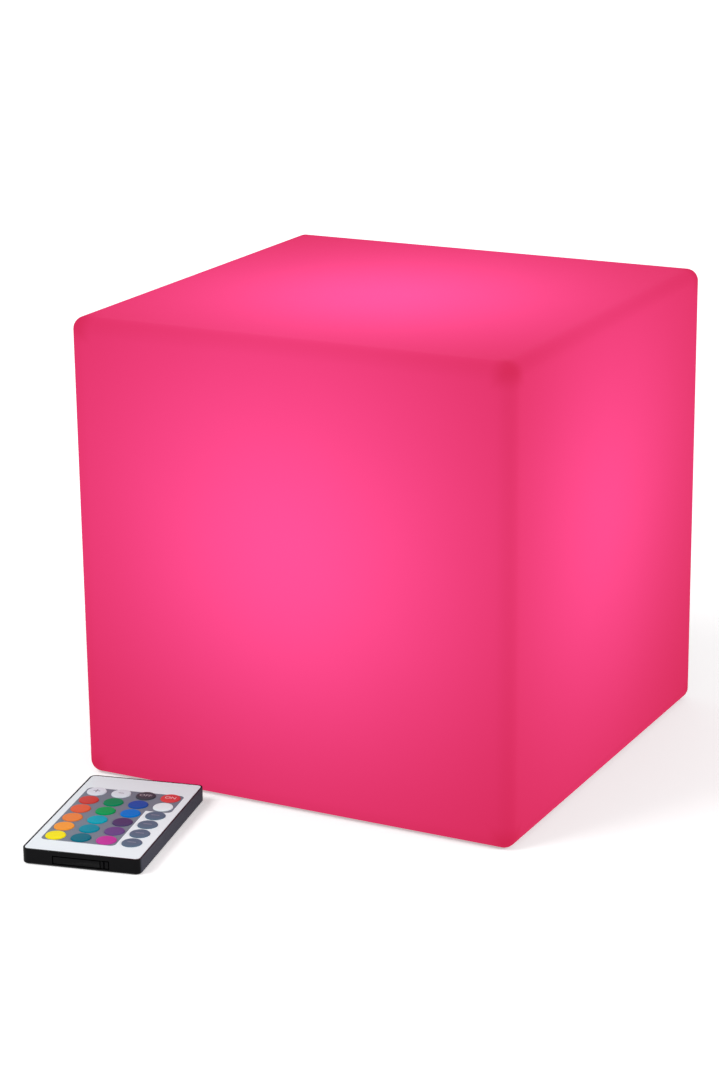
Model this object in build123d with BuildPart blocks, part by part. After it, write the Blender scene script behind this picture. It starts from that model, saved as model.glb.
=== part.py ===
"""LED cube light: a hollow milky cube with a sealed light engine in its base, and its slim
24-key infrared remote lying in front of it.

Units are millimetres. The origin is the centre of the cube's underside, on the ground.
+Z is up, -Y is the cube's front, and the remote lies in front of the front face.
"""

import os
from math import cos, hypot, radians, sin, sqrt

from build123d import *

os.makedirs("parts", exist_ok=True)


def save(piece, name):
    """Labels a finished piece and writes it to its own file."""
    piece.label = name
    export_step(piece, f"parts/{name}.step")


# ---------------------------------------------------------------- driving sizes: the cube
cube_size = 200.0
edge_radius = 5.3  # rounding of all twelve edges
shell_wall = 3.4

# ---------------------------------------------------------------- the cell sets the housing
cell_radius = 9.3  # 18650 cell in its sleeve
cell_length = 65.2
cell_gap = 0.25  # between the cell and its saddle
contact_space = 3.15  # room for a leaf contact at each end of the cell
leaf = 0.4  # sheet of the leaf contacts
leaf_gap = 0.05  # between a leaf and the cell's end
leaf_bulge = 5.0  # half the length of the leaf's springy bulge
leaf_height = 6.5
saddle_end_wall = 2.0
saddle_side_wall = 1.25
saddle_roof = 1.75  # web of the cradle between the cell and the housing's top plate
peg_radius = 1.5
peg_gap = 0.05

# ---------------------------------------------------------------- housing and cover
ground_gap = 2.0  # the light engine hangs this far above the ground
housing_wall = 2.2
housing_height = 33.0
housing_margin = 1.3  # between the saddle's corner and the housing wall
flange_thickness = 4.0
flange_gap = 0.6  # between the flange and the shell's recess
gasket_thickness = 1.0
hole_gap = 0.8  # between the housing and the hole in the shell
cover_thickness = 2.6
cover_gap = 0.3  # between the cover and its counterbore
cover_land = 4.2  # width of the ledge that the cover's rim rests on, less the wall
spigot_height = 4.8
spigot_wall = 2.8
spigot_gap = 0.2
seal_section = 1.2  # side of the cover's square-cut seal ring
seal_squeeze_gap = 0.05

# ---------------------------------------------------------------- fasteners
screw_radius = 1.45  # M3 machine screws
screw_clearance = 0.3
screw_head_radius = 2.75
screw_head_height = 1.6
housing_screw_count = 6
insert_radius = 2.6  # over the corners of the hexagon
insert_length = 6.0
insert_relief = 2.0  # free end of the boss's pocket above the insert
insert_bore_gap = 0.05
insert_fit = 0.02
boss_radius = 4.0
boss_height = 9.0
cover_screw_radius = 1.4
cover_screw_length = 12.0
cover_head_radius = 2.6
cover_head_height = 1.3
cover_post_radius = 3.4
small_screw_radius = 0.95
small_head_radius = 1.9
small_head_height = 1.2
pilot_gap = 0.05  # radial play of each self-tapping screw in its post

# ---------------------------------------------------------------- control board
board_thickness = 1.6
board_height = 15.0  # underside of the board above the housing's underside
board_gap = 1.0  # between the saddle and the board
standoff_radius = 2.4
standoff_inset = 4.0
board_screw_length = 5.5
chip_height = 1.5
chip_width = 3.9
controller_length = 10.0
controller_lead_count = 8  # on each side of the chip
controller_x = -12.0  # between the switch and the light pipe
charger_length = 5.0
charger_lead_count = 4
charger_x = 14.0
lead_pitch = 1.27
lead_rows = 5.0  # between the two rows of leads of a chip
lead_width = 0.42
lead_length = 1.2
link_pins = 8
link_inset = 3.5  # the pin header's place from the board's front edge
pin_pitch = 2.54
pin_width = 0.64

# ---------------------------------------------------------------- button, socket, light pipe
button_offset = 17.0  # the button and the socket stand this far left and right
button_radius = 6.0
button_gap = 0.25
button_proud = 0.4
button_flange = 1.4
button_flange_thickness = 1.0
button_stem_radius = 2.2
button_travel = 0.5
stop_gap = 0.1
boot_wall = 2.2
boot_web = 0.6
switch_side = 6.0
switch_height = 3.4
plunger_radius = 1.7
plunger_length = 2.8
plunger_fit = 0.08
jack_nose_radius = 4.6
jack_nose_gap = 0.3
jack_bore_radius = 2.95
jack_pin_radius = 1.05
jack_body_side = 10.0
plug_head_radius = 6.9
plug_head_thickness = 1.1
plug_stem_length = 5.5
plug_fit = 0.12
plug_tab_length = 3.2
plug_tab_width = 4.0
pipe_radius = 1.5
pipe_fit = 0.1

# ---------------------------------------------------------------- light source
led_board_thickness = 1.6
led_board_gap = 1.0
led_side = 5.0
led_height = 1.6
led_cup_radius = 2.1
led_screw_inset = 4.0
led_ring_step = 7.0  # from the circle of screws in to the outer ring of LEDs
inner_led_count = 6
outer_led_count = 12
dome_wall = 2.2
dome_skirt_height = 10.0
dome_rise = 14.0
dome_gap = 0.2
dome_rim_height = 0.4  # the dome's rim stands on its seal, this far above the top plate
dome_seal_depth = 0.8
snap_bead = 0.35
spigot_ring_wall = 1.8
spigot_ring_height = 4.5

# ---------------------------------------------------------------- remote control
remote_corner = 2.6
remote_wall = 1.2
remote_floor = 1.0
remote_x = -54.8  # middle of the remote, left of the cube's middle
remote_clear = 4.8  # between the cube's front face and the remote's nearest corner
remote_turn = 12.0  # degrees about +Z
face_thickness = 0.35
face_rim = 0.7  # black rim of the case that shows round the face
face_gap = 0.1
remote_board_thickness = 0.8
board_ledge = 0.9
key_columns = 4
key_rows = 6
key_radius = 4.1
key_gap = 0.12  # the thin flexing ring of film round each key
key_web_x = 2.36  # film left between two keys of a row
key_web_y = 1.01  # film left between two rows
key_side_margin = 4.7
key_near_margin = 11.1  # plain film at the battery end
key_far_margin = 13.45
key_rise = 0.55  # the crown's top above the film
key_edge = 0.12  # the crown's upright edge above the film
key_bevel = 0.7
key_skirt = 0.08  # the key reaches this far below the film
key_travel = 0.25
press_gap = 0.05  # left between a pressed key and its dome
dome_sheet = 0.1  # thickness of a snap dome, drawn pressed flat
coin_radius = 10.0
coin_thickness = 2.5
coin_gap = 0.25
coin_leaf_space = 0.42  # between the cell and the board, for the contact leaves
coin_leaf = 0.2
coin_leaf_width = 2.4
coin_leaf_length = 9.0
coin_leaf_x = 4.0
coin_foot = 0.6  # the end of each leaf that turns up to the board
tray_floor = 0.8
tray_rim = 1.6
tray_front = 1.4
tray_gap = 0.15
latch_width = 2.0
latch_slot = 0.6  # frees the squeeze latch from the tray
latch_length = 5.0
encoder_inset = 24.0  # the encoder chip's place from the far end
encoder_lead_count = 7
ir_led_radius = 1.5
ir_led_length = 6.2
ir_led_gap = 0.15

# ---------------------------------------------------------------- places worked out from them
saddle_half_length = cell_length / 2 + cell_gap + contact_space + saddle_end_wall
saddle_depth = 2 * (cell_radius + cell_gap + saddle_side_wall)
cell_y = -saddle_depth / 2
bore_radius = hypot(saddle_half_length, saddle_depth) + housing_margin
body_radius = bore_radius + housing_wall
shell_hole_radius = body_radius + hole_gap
cover_radius = bore_radius + cover_land - cover_gap
screw_circle = cover_radius + cover_gap + screw_head_radius + 1.1
flange_radius = screw_circle + screw_head_radius + 1.65
recess_radius = flange_radius + flange_gap

base_z = ground_gap
cover_top = base_z + cover_thickness
flange_top = base_z + flange_thickness
recess_depth = flange_top + gasket_thickness
pan_top = recess_depth + shell_wall
plate_top = base_z + housing_height
plate_under = plate_top - housing_wall
cell_z = plate_under - saddle_roof - cell_gap - cell_radius
saddle_bottom = cell_z - 0.45 * cell_radius
peg_x = saddle_half_length - saddle_end_wall - peg_radius

post_y = saddle_depth + cover_post_radius + 1.5
spigot_radius = bore_radius - spigot_gap
spigot_bore = spigot_radius - spigot_wall
post_circle = spigot_bore - cover_post_radius - 0.8
post_x = sqrt(post_circle**2 - post_y**2)
board_back = board_gap
board_front = post_y - cover_post_radius - 0.6
board_mid = (board_back + board_front) / 2
board_half_length = saddle_half_length - 1.5
board_under = base_z + board_height
board_top = board_under + board_thickness
standoff_x = board_half_length - standoff_inset
standoff_y = (board_front - board_back) / 2 - standoff_inset
link_y = board_front - link_inset

posts = [(sx * post_x, sy * post_y) for sx in (-1, 1) for sy in (-1, 1)]
standoffs = [
    (sx * standoff_x, board_mid + sy * standoff_y) for sx in (-1, 1) for sy in (-1, 1)
]
link_places = [((i - (link_pins - 1) / 2) * pin_pitch, link_y) for i in range(link_pins)]

spigot_ring_radius = body_radius - 1.2 - dome_wall - dome_gap
spigot_ring_bore = spigot_ring_radius - spigot_ring_wall
dome_radius = spigot_ring_radius + dome_gap + dome_wall
bead_z = plate_top + 0.7 * spigot_ring_height
led_board_radius = spigot_ring_bore - led_board_gap
led_board_top = plate_top + led_board_thickness
led_screw_circle = led_board_radius - led_screw_inset
outer_led_circle = led_screw_circle - led_ring_step
inner_led_circle = outer_led_circle / 2
led_screw_length = housing_wall + led_board_thickness - 0.3
led_screw_angles = (90, 210, 330)

# the underside of the cover as a working plane: its own Z points down, out of the light
underside = Plane(origin=(0, 0, base_z), x_dir=(1, 0, 0), z_dir=(0, 0, -1))

# ================================================================ 1. the cube shell
hollow_size = cube_size - 2 * shell_wall
with BuildPart() as cube_shell:
    with Locations((0, 0, cube_size / 2)):
        Box(cube_size, cube_size, cube_size)
        fillet(cube_shell.edges(), radius=edge_radius)
        Box(hollow_size, hollow_size, hollow_size, mode=Mode.SUBTRACT)
    # round pan in the base, which takes the light engine's flange
    with BuildSketch():
        Circle(recess_radius + shell_wall)
    extrude(amount=pan_top)
    with BuildSketch():
        Circle(recess_radius)
    extrude(amount=recess_depth, mode=Mode.SUBTRACT)
    with BuildSketch(Plane.XY.offset(recess_depth)):
        Circle(shell_hole_radius)
    extrude(amount=shell_wall, mode=Mode.SUBTRACT)
    # bosses round the hole, closed at the top so that the cube stays dry
    with BuildSketch(Plane.XY.offset(pan_top)):
        with PolarLocations(screw_circle, housing_screw_count):
            Circle(boss_radius)
    extrude(amount=boss_height, taper=2)
    with BuildSketch(Plane.XY.offset(recess_depth)):
        with PolarLocations(screw_circle, housing_screw_count):
            RegularPolygon(insert_radius + insert_fit, 6)
    extrude(amount=insert_length + insert_relief, mode=Mode.SUBTRACT)
    mouth = cube_shell.edges().filter_by(GeomType.CIRCLE).group_by(Axis.Z)[0]
    fillet(mouth.sort_by(SortBy.RADIUS)[-1], radius=shell_wall / 2)
save(cube_shell.part, "cube_shell")

# ================================================================ 2. hexagonal brass inserts
with BuildPart() as threaded_inserts:
    with BuildSketch(Plane.XY.offset(recess_depth)):
        with PolarLocations(screw_circle, housing_screw_count):
            RegularPolygon(insert_radius, 6)
            Circle(screw_radius + insert_bore_gap, mode=Mode.SUBTRACT)
    extrude(amount=insert_length)
save(threaded_inserts.part, "threaded_inserts")

# ================================================================ 3. gasket under the shell
with BuildPart() as shell_gasket:
    with BuildSketch(Plane.XY.offset(flange_top)):
        Circle(flange_radius - 1.0)
        Circle(body_radius + hole_gap / 2, mode=Mode.SUBTRACT)
        with PolarLocations(screw_circle, housing_screw_count):
            Circle(screw_radius + screw_clearance, mode=Mode.SUBTRACT)
    extrude(amount=gasket_thickness)
save(shell_gasket.part, "shell_gasket")

# ================================================================ 4. the light engine's housing
# An upside-down cup with a flange, turned about Z, that carries everything else: posts for
# the cover and the board, and the ring that the dome snaps over.
seal_inner = spigot_ring_radius + 0.3
seal_outer = body_radius - 1.4

with BuildPart() as base_housing:
    with BuildSketch(Plane.XZ):
        with BuildLine():
            Polyline(
                (cover_radius + cover_gap, base_z),
                (flange_radius, base_z),
                (flange_radius, flange_top),
                (body_radius, flange_top),
                (body_radius, plate_top),
                (seal_outer, plate_top),
                (seal_outer, plate_top - dome_seal_depth),
                (seal_inner, plate_top - dome_seal_depth),
                (seal_inner, plate_top),
                (spigot_ring_radius, plate_top),
                (spigot_ring_radius, bead_z - snap_bead),
                (spigot_ring_radius + snap_bead, bead_z),
                (spigot_ring_radius, bead_z + snap_bead),
                (spigot_ring_radius, plate_top + spigot_ring_height),
                (spigot_ring_bore, plate_top + spigot_ring_height),
                (spigot_ring_bore, plate_top),
                (0, plate_top),
                (0, plate_under),
                (bore_radius, plate_under),
                (bore_radius, cover_top),
                (cover_radius + cover_gap, cover_top),
                close=True,
            )
        make_face()
    revolve(axis=Axis.Z)
    # posts of the cover and standoffs of the board hang from the top plate
    with BuildSketch(Plane.XY.offset(cover_top)):
        with Locations(*posts):
            Circle(cover_post_radius)
    extrude(amount=plate_under - cover_top)
    with BuildSketch(Plane.XY.offset(board_top)):
        with Locations(*standoffs):
            Circle(standoff_radius)
    extrude(amount=plate_under - board_top)
    # pilot holes in them
    with BuildSketch(Plane.XY.offset(cover_top)):
        with Locations(*posts):
            Circle(cover_screw_radius + pilot_gap)
    extrude(amount=cover_screw_length, mode=Mode.SUBTRACT)
    with BuildSketch(Plane.XY.offset(board_top)):
        with Locations(*standoffs):
            Circle(small_screw_radius + pilot_gap)
    extrude(amount=board_screw_length, mode=Mode.SUBTRACT)
    # through the top plate: pilot holes of the LED board's screws, the holes of the cradle's
    # pegs, and the slot of the pin header
    with BuildSketch(Plane.XY.offset(plate_under)):
        with Locations((-peg_x, cell_y), (peg_x, cell_y)):
            Circle(peg_radius + peg_gap)
        for angle in led_screw_angles:
            with PolarLocations(led_screw_circle, 1, start_angle=angle):
                Circle(small_screw_radius + pilot_gap)
        with Locations((0, link_y)):
            SlotOverall((link_pins + 1) * pin_pitch, 2 * pin_pitch)
    extrude(amount=housing_wall, mode=Mode.SUBTRACT)
    # counterbored holes in the flange
    with Locations(underside):
        with PolarLocations(screw_circle, housing_screw_count):
            CounterBoreHole(
                radius=screw_radius + screw_clearance,
                counter_bore_radius=screw_head_radius + screw_clearance,
                counter_bore_depth=screw_head_height + 0.4,
                depth=flange_thickness,
            )
save(base_housing.part, "base_housing")

# ================================================================ 5. the cell's cradle
# The cell snaps into it from below. Two pegs, staked through the top plate, hold it.
pocket_width = saddle_depth - saddle_side_wall
contact_x = cell_length / 2 + cell_gap + contact_space / 2
with BuildPart() as battery_cradle:
    with BuildSketch(Plane.XY.offset(saddle_bottom)):
        with Locations((0, cell_y)):
            Rectangle(2 * saddle_half_length, saddle_depth)
    extrude(amount=plate_under - saddle_bottom)
    with Locations((0, cell_y, cell_z)):
        Cylinder(
            cell_radius + cell_gap,
            cell_length + 2 * cell_gap,
            rotation=(0, 90, 0),
            mode=Mode.SUBTRACT,
        )
    # a pocket for a leaf contact at each end, open towards the board
    with BuildSketch(Plane.XY.offset(saddle_bottom)):
        pocket_back = saddle_side_wall - saddle_depth
        with Locations((-contact_x, pocket_back), (contact_x, pocket_back)):
            Rectangle(contact_space, pocket_width, align=(Align.CENTER, Align.MIN))
    extrude(amount=cell_z + cell_radius - saddle_bottom, mode=Mode.SUBTRACT)
    with BuildSketch(Plane.XY.offset(plate_under)):
        with Locations((-peg_x, cell_y), (peg_x, cell_y)):
            Circle(peg_radius)
    extrude(amount=housing_wall - 2 * peg_gap)
save(battery_cradle.part, "battery_cradle")


def make_screw(shank_radius, head_radius, head_height, length):
    """One plain pan-head screw about Z: its head's seat is at height 0, the shank goes up."""
    with BuildPart() as screw:
        with BuildSketch(Plane.XZ):
            with BuildLine():
                Polyline(
                    (0, -head_height),
                    (0.7 * head_radius, -head_height),
                    (head_radius, -0.6 * head_height),
                    (head_radius, 0),
                    (shank_radius, 0),
                    (shank_radius, length),
                    (0, length),
                    close=True,
                )
            make_face()
        revolve(axis=Axis.Z)
    return screw.part


# ================================================================ 6. screws of the flange
flange_screw = make_screw(
    screw_radius,
    screw_head_radius,
    screw_head_height,
    flange_thickness - screw_head_height - 0.4 + gasket_thickness + insert_length,
)
with BuildPart() as housing_screws:
    with Locations(Plane.XY.offset(base_z + screw_head_height + 0.4)):
        with PolarLocations(screw_circle, housing_screw_count):
            add(flange_screw)
save(housing_screws.part, "housing_screws")

# ================================================================ 7. the service cover
groove_radius = bore_radius - seal_section - 2 * seal_squeeze_gap
groove_low = cover_top + 1.0
groove_high = groove_low + seal_section + 0.4
port_recess_radius = plug_head_radius + 0.3
port_recess_depth = plug_head_thickness + 0.05

with BuildPart() as base_cover:
    with BuildSketch(Plane.XZ):
        with BuildLine():
            Polyline(
                (0, base_z),
                (cover_radius - 0.6, base_z),
                (cover_radius, base_z + 0.6),
                (cover_radius, cover_top),
                (spigot_radius, cover_top),
                (spigot_radius, groove_low),
                (groove_radius, groove_low),
                (groove_radius, groove_high),
                (spigot_radius, groove_high),
                (spigot_radius, cover_top + spigot_height - 0.5),
                (spigot_radius - 0.5, cover_top + spigot_height),
                (spigot_bore, cover_top + spigot_height),
                (spigot_bore, cover_top),
                (0, cover_top),
                close=True,
            )
        make_face()
    revolve(axis=Axis.Z)
    with Locations(underside):
        # the plane's own Y runs backwards, so the places are mirrored in Y
        with Locations(*[(x, -y) for x, y in posts]):
            CounterBoreHole(
                radius=cover_screw_radius + screw_clearance,
                counter_bore_radius=cover_head_radius + screw_clearance,
                counter_bore_depth=cover_head_height + 0.2,
                depth=cover_thickness,
            )
        with Locations((-button_offset, -board_mid)):
            Hole(button_radius + button_gap, depth=cover_thickness)
        with Locations((0, -board_mid)):
            Hole(pipe_radius + pipe_fit, depth=cover_thickness)
        with Locations((button_offset, -board_mid)):
            CounterBoreHole(
                radius=jack_nose_radius + jack_nose_gap,
                counter_bore_radius=port_recess_radius,
                counter_bore_depth=port_recess_depth,
                depth=cover_thickness,
            )
    # notch beside the socket for the plug's pull tab
    with BuildSketch(Plane.XY.offset(base_z)):
        with Locations((button_offset, board_mid - plug_head_radius)):
            SlotOverall(
                2 * (plug_tab_length + 2.0), plug_tab_width + 2.5, rotation=90
            )
    extrude(amount=port_recess_depth, mode=Mode.SUBTRACT)
save(base_cover.part, "base_cover")

# ================================================================ 8. its square-cut seal ring
with BuildPart() as cover_seal:
    with BuildSketch(Plane.XZ):
        with Locations(((groove_radius + bore_radius) / 2, (groove_low + groove_high) / 2)):
            Rectangle(seal_section, seal_section)
    revolve(axis=Axis.Z)
save(cover_seal.part, "cover_seal")

# ================================================================ 9. its screws
cover_seat = base_z + cover_head_height + 0.2
cover_screw = make_screw(
    cover_screw_radius,
    cover_head_radius,
    cover_head_height,
    cover_screw_length - 1.0 + cover_top - cover_seat,
)
with BuildPart() as cover_screws:
    with Locations(Plane.XY.offset(cover_seat)):
        with Locations(*posts):
            add(cover_screw)
save(cover_screws.part, "cover_screws")

# ================================================================ 10. the power button
flange_bottom = cover_top + stop_gap
flange_upper = flange_bottom + button_flange_thickness
switch_bottom = board_under - switch_height
stem_top = switch_bottom - 1.0
button_flange_radius = button_radius + button_flange

with BuildPart() as power_button:
    with BuildSketch(Plane.XZ):
        with BuildLine():
            Polyline(
                (0, base_z - button_proud),
                (button_radius - 0.8, base_z - button_proud),
                (button_radius, base_z + 0.4),
                (button_radius, flange_bottom),
                (button_flange_radius, flange_bottom),
                (button_flange_radius, flange_upper),
                (button_stem_radius, flange_upper),
                (button_stem_radius, stem_top),
                (0, stem_top),
                close=True,
            )
        make_face()
    revolve(axis=Axis.Z)
button_place = Location((-button_offset, board_mid, 0))
save(power_button.part.moved(button_place), "power_button")

# ================================================================ 11. silicone hat over it
boot_bore = button_flange_radius + 0.4
boot_top = flange_upper + button_travel + 1.0
with BuildPart() as button_boot:
    with BuildSketch(Plane.XZ):
        with BuildLine():
            Polyline(
                (boot_bore, cover_top),
                (boot_bore + boot_wall, cover_top),
                (boot_bore + boot_wall, cover_top + 1.0),
                (boot_bore + 1.0, cover_top + 1.6),
                (boot_bore + 0.6, boot_top + boot_web),
                (button_stem_radius + button_gap, boot_top + boot_web),
                (button_stem_radius + button_gap, boot_top),
                (boot_bore, boot_top),
                close=True,
            )
        make_face()
    revolve(axis=Axis.Z)
save(button_boot.part.moved(button_place), "button_boot")

# ================================================================ 12. switch on the board
with BuildPart() as tact_switch:
    with BuildSketch(Plane.XY.offset(switch_bottom)):
        with Locations((-button_offset, board_mid)):
            Rectangle(switch_side, switch_side)
    extrude(amount=switch_height)
    chamfer(tact_switch.edges().filter_by(Axis.Z), length=0.5)
    with BuildSketch(Plane.XY.offset(switch_bottom)):
        with Locations((-button_offset, board_mid)):
            Circle(plunger_radius + plunger_fit)
    extrude(amount=plunger_length - 1.0 + button_travel + 0.2, mode=Mode.SUBTRACT)
save(tact_switch.part, "tact_switch")

# ================================================================ 13. its plunger
with BuildPart() as switch_plunger:
    with BuildSketch(Plane.XY.offset(stem_top)):
        with Locations((-button_offset, board_mid)):
            Circle(plunger_radius)
    extrude(amount=plunger_length)
    chamfer(switch_plunger.edges().group_by(Axis.Z)[-1], length=0.3)
save(switch_plunger.part, "switch_plunger")

# ================================================================ 14. charging socket
jack_bottom = base_z + port_recess_depth + 0.2
jack_back = board_under - 3.0
jack_place = Location((button_offset, board_mid, 0))
with BuildPart() as charge_jack:
    with BuildSketch(Plane.XY.offset(jack_bottom)):
        Circle(jack_nose_radius)
    extrude(amount=board_under - jack_bottom)
    with BuildSketch(Plane.XY.offset(cover_top + 3.0)):
        RectangleRounded(jack_body_side, jack_body_side, 0.8)
    extrude(amount=board_under - cover_top - 3.0)
    with BuildSketch(Plane.XY.offset(jack_bottom)):
        Circle(jack_bore_radius)
    extrude(amount=jack_back - jack_bottom, mode=Mode.SUBTRACT)
    with BuildSketch(Plane.XY.offset(jack_bottom + 1.5)):
        Circle(jack_pin_radius)
    extrude(amount=jack_back - jack_bottom - 1.5)
save(charge_jack.part.moved(jack_place), "charge_jack")

# ================================================================ 15. silicone plug of the socket
plug_top = base_z + plug_head_thickness
with BuildPart() as port_plug:
    with BuildSketch(Plane.XY.offset(base_z)):
        Circle(plug_head_radius)
        with Locations((0, -plug_head_radius)):
            SlotOverall(2 * plug_tab_length, plug_tab_width, rotation=90)
    extrude(amount=plug_head_thickness)
    with BuildSketch(Plane.XY.offset(plug_top)):
        Circle(jack_bore_radius - plug_fit)
    extrude(amount=plug_stem_length)
    with BuildSketch(Plane.XY.offset(plug_top)):
        Circle(jack_pin_radius + plug_fit)
    extrude(amount=plug_stem_length, mode=Mode.SUBTRACT)
save(port_plug.part.moved(jack_place), "port_plug")

# ================================================================ 16. light pipe of the charge light
pipe_top = board_under - 0.8
with BuildPart() as charge_light_pipe:
    with BuildSketch(Plane.XZ):
        with BuildLine():
            Polyline(
                (0, base_z),
                (pipe_radius, base_z),
                (pipe_radius, cover_top),
                (pipe_radius + 1.0, cover_top),
                (pipe_radius + 1.0, cover_top + 1.0),
                (pipe_radius, cover_top + 1.0),
                (pipe_radius, pipe_top),
                (0, pipe_top),
                close=True,
            )
        make_face()
    revolve(axis=Axis.Z)
save(charge_light_pipe.part.moved(Location((0, board_mid, 0))), "charge_light_pipe")

# ================================================================ 17. the control board
with BuildPart() as control_board:
    with BuildSketch(Plane.XY.offset(board_under)):
        with Locations((0, board_mid)):
            RectangleRounded(2 * board_half_length, board_front - board_back, 1.5)
        with Locations(*standoffs):
            Circle(small_screw_radius + screw_clearance, mode=Mode.SUBTRACT)
        with Locations(*link_places):
            Rectangle(pin_width + 0.2, pin_width + 0.2, mode=Mode.SUBTRACT)
    extrude(amount=board_thickness)
    # the charge light, soldered over the light pipe
    with BuildSketch(Plane.XY.offset(board_under)):
        with Locations((0, board_mid)):
            Rectangle(1.6, 0.9)
    extrude(amount=-0.6)
save(control_board.part, "control_board")

# ================================================================ 18. its chips
chips = [
    (controller_x, controller_length, controller_lead_count),
    (charger_x, charger_length, charger_lead_count),
]
with BuildPart() as control_chips:
    for chip_x, chip_length, lead_count in chips:
        with BuildSketch(Plane.XY.offset(board_top)):
            with Locations((chip_x, board_mid)):
                Rectangle(chip_length, chip_width)
        extrude(amount=chip_height)
        with BuildSketch(Plane.XY.offset(board_top)):
            with Locations((chip_x, board_mid)):
                with GridLocations(lead_pitch, lead_rows, lead_count, 2):
                    Rectangle(lead_width, lead_length)
        extrude(amount=chip_height / 2)
save(control_chips.part, "control_chips")

# ================================================================ 19. pin header to the LED board
with BuildPart() as board_link:
    with BuildSketch(Plane.XY.offset(board_top)):
        with Locations((0, link_y)):
            Rectangle(link_pins * pin_pitch, pin_pitch)
    extrude(amount=pin_pitch)
    with BuildSketch(Plane.XY.offset(board_under - 1.0)):
        with Locations(*link_places):
            Rectangle(pin_width, pin_width)
    extrude(amount=led_board_top + 1.2 - board_under + 1.0)
save(board_link.part, "board_link")

# ================================================================ 20. screws of the control board
board_screw = make_screw(
    small_screw_radius,
    small_head_radius,
    small_head_height,
    board_thickness + board_screw_length - 0.5,
)
with BuildPart() as board_screws:
    with Locations(Plane.XY.offset(board_under)):
        with Locations(*standoffs):
            add(board_screw)
save(board_screws.part, "board_screws")

# ================================================================ 21. the rechargeable cell
with BuildPart() as battery_cell:
    with Locations((0, cell_y, cell_z)):
        Cylinder(cell_radius, cell_length - 1.6, rotation=(0, 90, 0))
    chamfer(battery_cell.edges(), length=0.6)
    # terminals: the button at one end, the can's bottom at the other
    with Locations((0, cell_y, cell_z)):
        Cylinder(0.35 * cell_radius, cell_length, rotation=(0, 90, 0))
save(battery_cell.part, "battery_cell")

# ================================================================ 22. its leaf contacts
leaf_back = cell_length / 2 + cell_gap + contact_space - leaf / 2
leaf_touch = cell_length / 2 + leaf / 2 + leaf_gap
leaf_start = -saddle_depth + saddle_side_wall + leaf
with BuildPart() as cell_contacts:
    with BuildSketch(Plane.XY.offset(board_top)):
        for side in (-1, 1):
            with BuildLine():
                back = Polyline(
                    (side * leaf_back, leaf_start),
                    (side * leaf_back, cell_y - leaf_bulge),
                )
                bulge = ThreePointArc(
                    back @ 1, (side * leaf_touch, cell_y), (side * leaf_back, cell_y + leaf_bulge)
                )
                tail = Line(bulge @ 1, (side * leaf_back, board_back + leaf_bulge))
                offset(amount=leaf / 2, kind=Kind.INTERSECTION)
            make_face()
    extrude(amount=leaf_height)
save(cell_contacts.part, "cell_contacts")

# ================================================================ 23. the LED board
with BuildPart() as led_board:
    with BuildSketch(Plane.XY.offset(plate_top)):
        Circle(led_board_radius)
        for angle in led_screw_angles:
            with PolarLocations(led_screw_circle, 1, start_angle=angle):
                Circle(small_screw_radius + screw_clearance, mode=Mode.SUBTRACT)
        with Locations(*link_places):
            Rectangle(pin_width + 0.2, pin_width + 0.2, mode=Mode.SUBTRACT)
    extrude(amount=led_board_thickness)
save(led_board.part, "led_board")

# ================================================================ 24. the colour LEDs
outer_start = 180 / outer_led_count
with BuildPart() as rgb_leds:
    with BuildSketch(Plane.XY.offset(led_board_top)):
        with PolarLocations(inner_led_circle, inner_led_count):
            Rectangle(led_side, led_side)
        with PolarLocations(outer_led_circle, outer_led_count, start_angle=outer_start):
            Rectangle(led_side, led_side)
    extrude(amount=led_height)
    with BuildSketch(Plane.XY.offset(led_board_top + led_height)):
        with PolarLocations(inner_led_circle, inner_led_count):
            RegularPolygon(led_cup_radius, 8)
        with PolarLocations(outer_led_circle, outer_led_count, start_angle=outer_start):
            RegularPolygon(led_cup_radius, 8)
    extrude(amount=-0.4 * led_height, mode=Mode.SUBTRACT)
save(rgb_leds.part, "rgb_leds")

# ================================================================ 25. the infrared receiver
receiver_width = 5.6
with BuildPart() as ir_receiver:
    with BuildSketch(Plane.XY.offset(led_board_top)):
        Rectangle(receiver_width, receiver_width)
    extrude(amount=3.0)
    with BuildSketch(Plane.XZ):
        with BuildLine():
            Line((0, led_board_top + 3.0), (0.4 * receiver_width, led_board_top + 3.0))
            RadiusArc(
                (0.4 * receiver_width, led_board_top + 3.0),
                (0, led_board_top + 3.0 + 0.4 * receiver_width),
                -0.4 * receiver_width,
            )
            Line((0, led_board_top + 3.0 + 0.4 * receiver_width), (0, led_board_top + 3.0))
        make_face()
    revolve(axis=Axis.Z)
save(ir_receiver.part, "ir_receiver")

# ================================================================ 26. screws of the LED board
led_screw = make_screw(
    small_screw_radius, small_head_radius, small_head_height, led_screw_length
).rotate(Axis.X, 180)
with BuildPart() as led_screws:
    for angle in led_screw_angles:
        with Locations(Plane.XY.offset(led_board_top)):
            with PolarLocations(led_screw_circle, 1, start_angle=angle):
                add(led_screw)
save(led_screws.part, "led_screws")

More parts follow.
